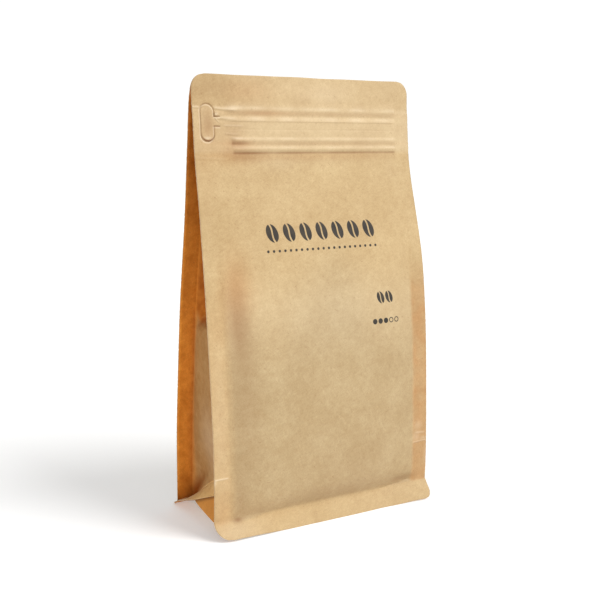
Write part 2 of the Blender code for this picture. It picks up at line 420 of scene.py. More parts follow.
@dataclass(frozen=True)
class TearTab:
    """The die-cut pull tab: a capsule whose neck runs into the tear line of the closure."""

    x: float = -59.6
    low: float = 207.9
    high: float = 219.1
    radius: float = 3.7
    neck_low: float = 211.8
    neck_high: float = 216.7
    neck_end: float = -52.8
    cut_width: float = 0.38
    cut_depth: float = 0.5

    def off_axis(self, x: float, z: float) -> float:
        """The distance from the capsule's axis."""
        return math.hypot(x - self.x, z - min(self.high, max(self.low, z)))

    def cut_distance(self, x: float, z: float) -> float:
        """The distance to the nearest point of the cut line."""
        ring = abs(self.off_axis(x, z) - self.radius)
        if x > self.x and self.neck_low < z < self.neck_high:
            ring = 99
        start = self.x + self.radius
        beyond = max(start - x, x - self.neck_end, 0)
        lips = min(math.hypot(beyond, z - self.neck_low), math.hypot(beyond, z - self.neck_high))
        return min(ring, lips)

    def near(self, x: float, z: float) -> bool:
        """Whether the tab reaches this place."""
        return abs(x - self.x) <= 12 and self.low - 8 < z < self.high + 8

    def at(self, x: float, z: float) -> float:
        """How far the paper stands out at the tab's cut and at the flap over its neck."""
        if not self.near(x, z):
            return 0
        cut = -self.cut_depth * hump(self.cut_distance(x, z), self.cut_width)
        inside = self.off_axis(x, z) < self.radius
        bulge = 0.5 * hump(x - self.x, 2.7) * hump(z - self.low + 1.7, 1.5) if inside else -0.1
        flap_x, flap_z = x - self.x - self.radius - 0.3, z - self.neck_high - 0.3
        flap = 0.7 * (1 - flap_x / 2.8) if 0 < flap_x and 0 < flap_z < 2.2 - 0.8 * flap_x else 0
        return cut + bulge + max(0, flap)

    def cut_shade_and_highlight(self, x: float, z: float) -> Pair:
        """Painted shade in the cut's gap and under the tab's bulge, and a painted highlight on its
        rim.

        The highlight is on the rim that faces the light from the upper right: the outer rim below
        and at the left, and the inner one above and at the right.
        """
        if not self.near(x, z):
            return 0, 0
        out = self.off_axis(x, z)
        ring = out - self.radius
        up_right = (0.6 * (x - self.x) + 0.8 * (z - min(self.high, max(self.low, z)))) / max(out, 0.01)
        dark, pale = 0, 0
        if x <= self.x or not self.neck_low < z < self.neck_high:
            low = hump(z - self.low + self.radius, 2.6)
            dark = (0.36 + 0.5 * low) * hump(ring - 0.25 * up_right + 0.2 * low, 0.26 + 0.22 * low)
            pale = 0.42 * hump(ring + 0.7 * up_right, 0.28)
        beyond = max(self.x + self.radius - x, x - self.neck_end, 0)
        for lip in (self.neck_low, self.neck_high):
            dark = max(dark, 0.6 * hump(math.hypot(beyond, z - lip), 0.32))
            pale = max(pale, 0.3 * hump(math.hypot(beyond, z - lip + 0.7), 0.3))
        return dark, pale


@dataclass(frozen=True)
class Tone:
    """How the paper looks at a place.

    Attributes:
        backed: how much the contents back it.
        lit_through: how much light comes through it.
        lightened: how much paler creasing, rubbing and a second ply, and painted highlights and
            painted light, have made it.
        shaded: how deep in a fold it lies, where no light comes through.
    """

    backed: float = 0.0
    lit_through: float = 0.0
    lightened: float = 0.0
    shaded: float = 0.0


def rim_fitted(column: float, row: float, left_corner: float, layer: float) -> Pair:
    """A panel's place (x, z) for a column and a row, with its corners rounded and its rim as cut.

    Args:
        column: millimetres from the middle, as on a square-cornered sheet.
        row: millimetres above the surface that the pouch stands on.
        left_corner: the radius of its bottom left corner.
        layer: which random pattern the cut follows.
    """
    width = FORM.half_width(row, left_corner if column < 0 else FORM.bottom_corner)
    beyond = (abs(column) - FORM.seam) / FORM.side_seal
    x = column if beyond <= 0 else math.copysign(between(FORM.seam, width, beyond), column)
    ragged = 0.18 * cloud(row, column, 1.3, layer) * ease(abs(x) - FORM.half + 1)
    wavy = 0.35 * cloud(x, 0, 24, 7) * ease((row - FORM.header_seal) / 10)
    return x + ragged, row + wavy


@dataclass
class SheetMaker:
    """Makes thin paper sheets from grids and puts them in the frame."""

    shift: Vector
    cut_edge: bpy.types.Material
    sharp_degrees: float = 38.0
    made: list[bpy.types.Object] = field(default_factory=list)

    def place(self, point: Point) -> Vector:
        """A point of the form in millimetres as its place in the frame in metres."""
        return Vector(point) * MM + self.shift

    def sheet(
        self,
        name: str,
        columns: list[float],
        rows: list[float],
        point: Callable[[float, float], Point],
        tone: Callable[[float, float], Tone],
        material: bpy.types.Material,
        thickness: float,
    ) -> bpy.types.Object:
        """A sheet of paper laid over a form.

        Args:
            name: the piece's name.
            columns: where its columns stand.
            rows: where its rows stand.
            point: gives a grid place's point of the form, in millimetres.
            tone: gives the look of the paper at a grid place.
            material: its finish.
            thickness: in millimetres, away from the side that faces out.

        Returns:
            The finished piece, at the origin with its place in its mesh.
        """
        mesh = bmesh.new()
        looks = {look: mesh.verts.layers.float.new(look) for look in LOOKS}
        last_column, last_row = len(columns) - 1, len(rows) - 1
        bmesh.ops.create_grid(mesh, x_segments=last_column, y_segments=last_row, size=1.0)
        for vert in mesh.verts:
            column = columns[round((vert.co.x + 1) / 2 * last_column)]
            row = rows[round((vert.co.y + 1) / 2 * last_row)]
            look = tone(column, row)
            for key, layer in looks.items():
                vert[layer] = min(1.0, max(0.0, getattr(look, key)))
            vert.co = self.place(point(column, row))
        data = bpy.data.meshes.new(name)
        mesh.to_mesh(data)
        mesh.free()
        data.materials.append(material)
        data.materials.append(self.cut_edge)
        data.shade_smooth()
        data.set_sharp_from_angle(angle=math.radians(self.sharp_degrees))
        piece = linked(name, data)
        wall = piece.modifiers.new("paper", "SOLIDIFY")
        wall.thickness = thickness * MM
        wall.offset = -1
        wall.material_offset_rim = 1
        self.made.append(piece)
        LOG.info("%s: %d faces", name, len(data.polygons))
        return piece


@dataclass
class FrontPanel:
    """The printed front panel, from the rim of the bottom seal to the header's top edge."""

    closure: Closure = field(default_factory=Closure)
    tab: TearTab = field(default_factory=TearTab)
    dents: tuple[Spot, ...] = spots(
        (32, 227, 2.2, 3.6, -0.5), (28.5, 229.5, 2.6, 4.2, 0.3), (-2, 231, 5, 4, -0.45),
        (52.5, 226, 7, 2.2, -0.4), (61.5, 193, 1.3, 8, -0.35), (-44, 192, 9, 4, -0.6),
        (-42.5, 203, 4.5, 1.1, -0.5), (-44.5, 205.6, 1.4, 0.8, 0.5), (-50, 112, 9, 14, -1),
        (-53, 15, 6, 6, -0.6), (52, 12.2, 9, 2.8, -1.4),
    )
    creases: tuple[Crease, ...] = (
        Crease((-67.6, 33.3), (-59.5, 33.2), 0.45, 0.3, 0.12, 0.35),
        Crease((58, 33), (67.6, 33.4), 0.5, 0.3, 0.15, 0.2),
        Crease((59.5, 38.6), (66, 38), 0.7, 0.18, 0.1, 0.2),
        Crease((36, 10.4), (57.5, 12.2), 0.9, 0, 0.7),
    )
    wrinkles: tuple[Crease, ...] = (
        Crease((-67.6, 221.2), (-63.8, 221), 0.6, 0.3, 0.2, 0.2),
        Crease((-55.6, 220.8), (-44, 220), 0.7, 0.36, 0.25, 0.18),
        Crease((-54, 216), (-44, 215.6), 0.7, 0.35, 0.2, 0.12),
        Crease((-50.6, 212.2), (-40, 212), 0.5, 0.2, 0.1, 0.1),
        Crease((-55.8, 216.4), (-53.2, 213.8), 0.32, 0.26, 0.14, 0.16),
        Crease((-50, 208.4), (-43, 207.6), 0.6, 0.2, 0.12, 0.06),
        Crease((-66.5, 196), (-50, 195.3), 0.6, 0.12, 0.06, 0.03),
    )
    # Pale spots: wear blotches on the right fin, painted highlights by the tab and the closure's left
    # end, and painted light on the header's middle and the front flange's left end.
    scuffs_and_highlights: tuple[Spot, ...] = spots(
        (61.5, 43, 2.6, 2.4, 0.2), (60.5, 36, 2.2, 2.6, 0.22), (65.5, 34.8, 2, 1, 0.2),
        (66.8, 25, 1.2, 6, 0.15), (-43, 221.2, 4.5, 1, 0.2), (-54.6, 217.9, 1, 0.9, 0.3),
        (-60, 205.9, 2.2, 0.7, 0.42), (-42.5, 205.9, 3.5, 0.6, 0.25), (8, 231, 30, 8, 0.06),
        (12, 228, 12, 5, 0.07), (-20, 193, 10, 5, 0.05), (-67, 32, 0.8, 1.6, 0.25),
        (-57, 4, 13, 5, 0.13), (-62.5, 62, 5, 46, 0.08),
    )
    shadows: tuple[Spot, ...] = spots(
        (-54, 231, 20, 8, 0.24), (56, 229, 12, 9, 0.1), (-59.6, 213.4, 3.6, 7, 0.34),
        (-63, 185, 7, 40, 0.08), (-47, 208, 9, 9, 0.2), (-42, 197, 13, 3.6, 0.2),
        (-42, 203.3, 5, 1.2, 0.26), (-45.6, 203.6, 0.7, 1.6, 0.3), (-50.6, 115, 6, 20, 0.4),
        (-44, 150, 14, 18, 0.06), (-49, 68, 8, 36, 0.17), (-30, 178, 26, 26, 0.04),
        (-27, 219.2, 8, 1.8, 0.13), (-5, 225.5, 7, 3.5, 0.08), (34, 222.6, 5, 3, 0.1),
        (54, 189, 7, 5, 0.1), (2, 194, 16, 2.4, 0.05), (-52.5, 22, 3.5, 13, 0.14),
        (-54, 9.2, 2.4, 1.4, 0.6), (-44, 12.5, 9, 2.6, 0.1), (18, 26, 16, 9, 0.07),
        (50, 12.4, 8, 2, 0.3), (0, 12, 44, 3.5, 0.07), (40, 5, 26, 6, 0.09), (10, 15, 42, 6, 0.17),
        (-62, 22, 5, 12, 0.05), (8, 36, 34, 16, 0.06),
    )
    # Painted warm glow, mixed towards the glowing colour: in the closure's hollows, by the tab and on
    # the body's left flank where shade falls, low on the fins, and a little over the header.
    warm: tuple[Spot, ...] = spots(
        (-59.6, 211, 4.4, 9, 0.1), (-44, 199, 13, 6, 0.14), (-47, 206, 8, 8, 0.07),
        (-41, 203.2, 6, 1.3, 0.16), (-28, 218.6, 14, 1.6, 0.2), (10, 218.6, 60, 1.2, 0.1),
        (10, 203.3, 56, 1.1, 0.1), (4, 196.6, 60, 2, 0.08), (-37, 230, 13, 6, 0.11),
        (-63, 14, 4, 16, 0.08), (-50.5, 129, 8, 16, 0.27), (-10, 230, 50, 10, 0.03),
        (-63, 195, 7, 18, 0.05), (-50, 12, 30, 12, 0.03),
    )
    bow: float = 2.2
    bow_x: float = 14.0

    def broad_relief(self, x: float, z: float) -> float:
        """How far the paper stands out in soft waves and dents."""
        rise = sum(mark.at(x, z) for mark in (*self.dents, *self.creases))
        seam = ease((z - FORM.front_fold) / 6) * (1 - ease((z - 176) / 22))
        width = 4.6 if x < 0 else 1.2
        rise += 0.3 * ease((FORM.seam - 0.4 - abs(x)) / width + 0.5) * seam
        rise += FORM.slack(x) * (0.5 * cloud(x, z, 40, 0) + 0.2 * cloud(x, z, 14, 1))
        header = ease((z - 212) / 18)
        bowed = self.bow * (1 - ((x - self.bow_x) / 82) ** 2) - 0.6 * self.bow
        return rise + header * (0.4 * cloud(x, z, 18, 5) + bowed)

    def fine_relief(self, x: float, z: float) -> float:
        """How far the outer ply alone stands out."""
        return sum(mark.at(x, z) for mark in (self.closure, self.tab, *self.wrinkles))

    def face(self, x: float, z: float) -> float:
        """The y of the panel's outer face."""
        return FORM.front(x, z) - self.broad_relief(x, z) - self.fine_relief(x, z)

    def behind(self, x: float, z: float) -> float:
        """The y of the next ply's near face, clear of the panel's fine relief."""
        header = ease((z - 196) / 6) * (1 - ease((z - FORM.header_seal) / 5))
        pinch = ease((abs(x) - FORM.half + 1.6) / 1.2)
        gap = between(FORM.ply_gap, FORM.ply + 0.02, pinch)
        return FORM.front(x, z) - self.broad_relief(x, z) + gap + 0.45 * header * (1 - pinch)

    def point(self, column: float, row: float) -> Point:
        """The outer face's point at a column and a row."""
        x, z = rim_fitted(column, row, FORM.front_left_corner, 9)
        return x, self.face(x, row), max(z, 0.15) + FORM.front_lift(x, row)

    def tone(self, x: float, row: float) -> Tone:
        """The look: greyer over the contents, paler at creases, with painted glow, highlights and
        shade.
        """
        level = 98 + 16 * cloud(x, 0, 30, 3) + 14 * ease((x + 34) / 44)
        level += 23 * hump(x + 2, 26) + 14 * hump(x + 48, 12)
        body = ease((FORM.seam - abs(x)) / (6 if x < 0 else 3) + 0.25)
        foot = FORM.front_foot(x, row)
        backed = ease((level - row) / 64 + 0.5) * body * foot
        blotch = 1 + 0.7 * cloud(x, row, 6, 8)
        # Painted glow of light through the fins, more on the right one.
        lit = (0.24 if x > 0 else 0.07) * blotch * (1 - body) * ease((140 - row) / 30) * foot
        # Warm spots: painted glow tinting shaded hollows, the left flank, the fins and the header.
        lit += sum(spot.at(x, row) for spot in self.warm)
        # Painted shade in the tab's cut, a painted highlight on its rim, and creases and closure ribs
        # paler with painted highlights.
        cut_shade, cut_highlight = self.tab.cut_shade_and_highlight(x, row)
        marks = (*self.creases, *self.wrinkles, self.closure)
        pale = cut_highlight + sum(mark.paleness(x, row) for mark in marks)
        # Pale spots: wear, painted highlights and painted light.
        pale += sum(pale_spot.at(x, row) for pale_spot in self.scuffs_and_highlights)
        # Paler over the header and the closure's band, and a painted highlight along the top of the
        # contents' bulge.
        pale += 0.07 * ease((row - 196) / 6) * ease((x + 58) / 26) + 0.08 * hump(row - 116, 20) * body
        pale += 0.08 * ease((row - 197) / 3) * ease((224 - row) / 4)
        # Painted shade in the tab's cut and the closure's hollows, the painted shadows, and darker on
        # the right fin.
        shade = cut_shade + self.closure.hollow_shade(x, row)
        shade += sum(shadow.at(x, row) for shadow in self.shadows)
        shade += 0.18 * (x > 0) * (1 - body) * ease((150 - row) / 30) * foot
        return Tone(backed, lit, pale, shade)

    def build(self, maker: SheetMaker, material: bpy.types.Material) -> bpy.types.Object:
        """Lays the panel, finely where the tab and the closure are."""
        columns = spaced(((-67.5, 0.9), (-65, 0.26), (-51, 0.9), (-44, 1.6), (50, 0.9), (67.5, 1)))
        rows = spaced((
            (0, 0.6), (5, 0.8), (31, 0.4), (40, 1.15), (193.5, 0.35), (203.2, 0.27),
            (224, 0.5), (237.5, 1),
        ))
        return maker.sheet("front_panel", columns, rows, self.point, self.tone, material, FORM.ply)


@dataclass
class BackPanel:
    """The plain back panel."""

    front: FrontPanel

    def relief(self, x: float, z: float) -> float:
        """How far the paper stands out of the panel's main form."""
        rise = 0.25 * ease((FORM.seam + 0.4 - abs(x)) / 1.4) * ease((z - FORM.back_fold) / 6)
        return rise + FORM.slack(x) * (0.4 * cloud(x, z, 32, 11) + 0.16 * cloud(x, z, 12, 12))

    def face(self, x: float, z: float) -> float:
        """The y of the outer face, which meets the front panel in the header's seal."""
        apart = FORM.back(x, z) + self.relief(x, z)
        sealed = self.front.behind(x, z) + 3 * FORM.ply
        return max(sealed, between(apart, sealed, ease((z - FORM.header_seal) / 9)))

    def behind(self, x: float, z: float) -> float:
        """The y of the next ply's near face."""
        return self.face(x, z) - FORM.ply_gap * FORM.lean(FORM.back_fold, FORM.back_splay, z)

    def point(self, column: float, row: float) -> Point:
        """The outer face's point at a column and a row."""
        x, z = rim_fitted(column, row, FORM.back_left_corner, 19)
        return x, self.face(x, row), max(z, 0.2)

    def tone(self, x: float, row: float) -> Tone:
        """The look of the paper: greyer over the contents, a painted glow through the fins."""
        level = 98 + 14 * cloud(x, 0, 30, 13)
        body = ease((FORM.seam - abs(x)) / 2 + 0.3)
        backed = ease((level - row) / 40 + 0.5) * body * ease((row - FORM.back_fold) / 2.5)
        lit = 0.1 * (1 + 0.7 * cloud(x, row, 6, 18)) * (1 - body) * ease((140 - row) / 30)
        return Tone(backed, lit * ease((row - FORM.back_fold) / 4))

    def build(self, maker: SheetMaker, material: bpy.types.Material) -> bpy.types.Object:
        """Lays the panel from its right edge to its left, so that it faces back."""
        columns = spaced(((67.5, 0.9), (56, 1.8), (-56, 0.9), (-67.5, 1)))
        rows = spaced(((0, 0.5), (6, 1), (226, 0.8), (229.5, 0.6), (237.5, 1)))
        return maker.sheet("back_panel", columns, rows, self.point, self.tone, material, FORM.ply)


@dataclass
class Gusset:
    """One side's folded sheet, its edges sealed to the panels as the fins' inner plies."""

    side: Side
    front: FrontPanel
    back: BackPanel
    wall: float = 50.0
    pocket: float = 2.6
    top_seal: float = 7.5

    @property
    def crease_row(self) -> float:
        """The row along the corner's crease, halfway up those that follow the bottom seal."""
        return (FORM.front_fold + FORM.gusset_top) / 2

    def wall_row(self, share: float, height: float) -> Pair:
        """A row's height at a place across the wall, and how far it stands out over the seal.

        Args:
            share: the place across, -1 at the front seam and 1 at the back one.
            height: the row's height in front.
        """
        if height >= FORM.gusset_top:
            return height, 0
        crease = FORM.corner_crease.at(share)
        low = (height - FORM.front_fold) / (self.crease_row - FORM.front_fold)
        if low >= 1:
            return between(crease, FORM.gusset_top, low - 1), 0
        reach = FORM.side_seal - 0.1 - FORM.fold_inset(share)
        return between(FORM.fold_height(share), crease, low), (1 - low) * max(0, reach)

    def wall_point(self, share: float, height: float) -> Point:
        """A point of the folded wall.

        Args:
            share: the place across, -1 at the front seam and 1 at the back one.
            height: the row's height in front.
        """
        sign = self.side.value
        z, outward = self.wall_row(share, height)
        closing = ease((FORM.height - self.top_seal - z) / 6)
        dome, vee = 1 - share**2, 1 - abs(share)
        folded = ease((z - FORM.fill_level - 6 * abs(share)) / 10)
        inward = FORM.gusset_in.at(z) * closing * between(dome, vee, folded)
        above = z - FORM.corner_crease.at(share)
        sunk = ease(above / 9) * (1 - ease((above - 8) / 22)) * hump(share - 0.55, 0.45)
        inward += self.pocket * sunk * ease((1 - share) / 0.3)
        inward += self.crumple(share, z) * dome * ease(above / 6)
        front = self.front.behind(sign * FORM.seam, z) + FORM.ply
        back = self.back.behind(sign * FORM.seam, z) - FORM.ply
        return sign * (FORM.seam - inward + outward), between(front, back, (share + 1) / 2), z

    def crumple(self, share: float, height: float) -> float:
        """Small creases where the contents end, and soft lumps under them."""
        y = share * self.wall / 2
        layer = 30 + self.side.value
        lumps = 0.9 * cloud(y, height, 19, layer) * ease((height - 30) / 12)
        notch = 2.2 * hump(height - 111 + 3 * share, 2.4) * (1 - 0.4 * abs(share))
        return lumps + notch + 0.5 * cloud(y, height, 6, layer + 5) * hump(height - 112, 16)

    def point(self, place: float, height: float) -> Point:
        """A point of the sheet at a place across it, in millimetres from its front edge."""
        seal = FORM.side_seal
        if seal <= place <= seal + self.wall:
            return self.wall_point(2 * (place - seal) / self.wall - 1, height)
        in_front = place < seal
        reach = (seal - place if in_front else place - seal - self.wall) / seal
        seam_x, _, seam_z = self.wall_point(-1 if in_front else 1, height)
        rim_x = max(abs(seam_x), FORM.half_width(height) - 0.1)
        x = self.side.value * between(abs(seam_x), rim_x, reach)
        foot = FORM.front_fold if in_front else FORM.back_fold
        z = between(seam_z, FORM.row_height(foot, height), reach)
        if in_front:
            return x, self.front.behind(x, z) + FORM.ply, z
        return x, self.back.behind(x, z) - FORM.ply, z

    def tone(self, place: float, height: float) -> Tone:
        """The look of the paper: a painted orange glow in the fins and folds, brown over the contents.
        """
        share = 2 * (place - FORM.side_seal) / self.wall - 1
        on_wall = abs(share) < 1
        if height < self.crease_row + 0.5 and on_wall:
            # The corner's facet: a painted highlight towards its back rim, painted shade near its
            # crease.
            inner = ease((height - FORM.front_fold - 6) / 8) * ease((share - 0.2) / 0.5)
            return Tone(0, 0, (0.05 + 0.4 * ease(share)) * (1 - inner), 0.7 * inner)
        inset = max(-1, min(1, share))
        z, _ = self.wall_row(inset, height)
        above = z - FORM.corner_crease.at(inset)
        y = share * self.wall / 2
        level = FORM.fill_level + 6 + 3 * cloud(y, 0, 7, 50)
        across = ease((1.1 - share) / 0.34) * ease((share + 1.1) / 0.2)
        inside = ease((level - height) / 6 + 0.5) * across
        # Painted shade in the pocket above the corner, the notch where the contents end, along the
        # back seam, in the upper fold, towards the top and at the foot, with random darker blotches;
        # painted light low on the wall.
        pocket = hump(above - 2, 8) * hump(share - 0.82, 0.32)
        painted_light = 0.14 * hump(z - 46, 17) * hump(share + 0.1, 0.5)
        notch = hump(height - 112.5 + 4 * share, 2.8)
        notch *= ease((0.9 - share) / 0.3) * ease((share + 0.3) / 0.4)
        seam = hump(share - 0.98, 0.1) * ease((level + 8 - height) / 16)
        blotch = 0.2 * cloud(y, height, 7, 52) + 0.16 * cloud(y, height, 2.6, 53)
        fold = ease((height - level + 4) / 6) * (0.04 + 0.62 * ease((1.04 - share) / 0.12) + blotch)
        top = (0.58 + blotch) * ease((height - 130) / 80) + max(0, 0.8 * blotch) * (1 - inside)
        foot = 0.85 * hump(height - FORM.front_fold, 6.5) * ease(share)
        shade = max(0.95 * pocket, 0.85 * notch, 0.3 * seam, fold, top, foot)
        return Tone(inside, 1 - inside, painted_light, shade)

    def build(self, maker: SheetMaker, material: bpy.types.Material) -> bpy.types.Object:
        """Lays the sheet so that it faces out of its side."""
        seal, end = FORM.side_seal, 2 * FORM.side_seal + self.wall
        columns = spaced(((0, 1.5), (seal - 0.3, 0.3), (seal + 1, 1), (seal + self.wall / 2, 1),
                          (seal + self.wall - 1, 0.3), (end - seal + 0.3, 1.5), (end, 1)))
        if self.side is Side.LEFT:
            columns.reverse()
        rows = spaced((
            (FORM.front_fold, 1), (self.crease_row, 0.7), (FORM.gusset_top, 1.2), (102, 0.6),
            (128, 1.5), (236.8, 1),
        ))
        name = f"{self.side.name.lower()}_gusset"
        return maker.sheet(name, columns, rows, self.point, self.tone, material, FORM.ply)


@dataclass
class BottomPanel:
    """The bottom sheet: it sags onto the table, and its rim is sealed to the other sheets."""

    front: FrontPanel
    back: BackPanel
    rest_x: float = 50.0
    front_ply: float = 10.0
    back_ply: float = 4.5
    floor: float = 50.0
    thickness: float = 2 * FORM.ply

    def point(self, column: float, place: float) -> Point:
        """A point of the sheet at a column and a place from its front rim."""
        x = held(column, FORM.half - 0.15)
        across = ease((FORM.seam - abs(x)) / (FORM.seam - self.rest_x))
        if place <= self.front_ply:
            corner, inset = (FORM.front_left_corner, 0.15) if x < 0 else (FORM.bottom_corner, 0.4)
            x = held(x, FORM.half_width(place, corner) - inset)
            height = place * between(FORM.web_height(x, -1) / FORM.front_fold, 1, across)
            height = max(height, 0.25 + inset)
            lean = FORM.lean(FORM.front_fold, 1.2 * FORM.front_flare(x), height)
            y = self.front.behind(x, height) + self.thickness * lean
            return x, y, height + FORM.front_lift(x, height)
        if place >= self.front_ply + self.floor:
            height = self.back_ply + self.front_ply + self.floor - place
            corner = FORM.back_left_corner if x < 0 else FORM.bottom_corner
            x = held(x, FORM.half_width(height, corner) - 0.15)
            lean = FORM.lean(FORM.back_fold, FORM.back_splay, height)
            return x, self.back.behind(x, height) - self.thickness * lean, max(height, 0.6)
        share = 2 * (place - self.front_ply) / self.floor - 1
        shelf = FORM.web_height(x, share)
        rim = between(FORM.front_fold, FORM.back_fold, (share + 1) / 2)
        sag = ease((1 - abs(share)) / 0.34)
        height = between(shelf, between(rim, 0, sag), across)
        front = self.front.behind(x, max(FORM.front_fold, height)) + self.thickness
        back = self.back.behind(x, FORM.back_fold) - self.thickness
        return x, between(front, back, (share + 1) / 2), height

    def tone(self, x: float, place: float) -> Tone:
        """The look: brown in the middle, painted orange glow in the seals, painted shade under their
        fold.
        """
        backed = ease((FORM.seam - abs(x)) / 2)
        share = 2 * (place - self.front_ply) / self.floor - 1
        under = FORM.fold_inset(share) - (FORM.half - abs(x))
        return Tone(backed, (1 - backed) * 0.85, 0, 0.75 * hump(under - 0.2, 0.6) * (abs(share) < 1))

    def build(self, maker: SheetMaker, material: bpy.types.Material) -> bpy.types.Object:
        """Lays the sheet facing down, its front rim first."""
        ends = self.front_ply + self.floor
        columns = spaced(((67.5, 0.45), (58, 0.9), (48, 2), (-48, 0.9), (-58, 0.45), (-67.5, 1)))
        rows = spaced(((0, 0.5), (self.front_ply + 2, 0.6), (37, 0.9), (ends, 0.5),
                       (ends + self.back_ply, 1)))
        name = "bottom_panel"
        return maker.sheet(name, columns, rows, self.point, self.tone, material, self.thickness)


def linear(hex_colour: str) -> tuple[float, float, float, float]:
    """An sRGB hex colour as the linear colour that shaders take."""
    parts = [int(hex_colour[i:i + 2], 16) / 255 for i in (1, 3, 5)]
    return (*(p / 12.92 if p <= 0.04045 else ((p + 0.055) / 1.055) ** 2.4 for p in parts), 1)


def feed(tree: Tree, node: bpy.types.Node, inputs: dict[int | str, object]) -> None:
    """Gives a node's inputs what they get.

    Args:
        tree: the node tree.
        node: the node.
        inputs: what each input gets, an output socket to link or a plain value.
    """
    for key, value in inputs.items():
        if isinstance(value, Socket):
            tree.links.new(value, node.inputs[key])
        else:
            node.inputs[key].default_value = value


def add_node(
    tree: Tree,
    kind: str,
    settings: dict[str, object] | None = None,
    inputs: dict[int | str, object] | None = None,
) -> bpy.types.Node:
    """Adds a node with its settings, its values and its links.

    Args:
        tree: the node tree.
        kind: the node's type.
        settings: its properties.
        inputs: what each input gets, as for feed.
    """
    node = tree.nodes.new(kind)
    for name, value in (settings or {}).items():
        setattr(node, name, value)
    feed(tree, node, inputs or {})
    return node


@dataclass(frozen=True)
class Row:
    """A level row of equal marks, with its left end, its height and its marks' half length."""

    left: float
    pitch: float
    count: int
    height: float
    size: float


@dataclass(frozen=True)
class Print:
    """The plain one-colour print: beans, a dotted rule, and a scale under two beans."""

    ink: str = "#14110e"
    beans: Row = Row(-32.7, 10, 7, 157.4, 5)
    rule: Row = Row(-32.7, 10 / 3, 21, 148.2, 0.72)
    pair: Row = Row(32.9, 5.8, 2, 119.6, 3.5)
    scale: Row = Row(29, 3.7, 5, 106.8, 1.5)
    scale_full: int = 3
    hole: float = 1.0
    edge: float = 0.12
    bean_tilt: float = 24.0
    bean_width: float = 0.66
    furrow: float = 0.09
    furrow_sway: float = 0.14


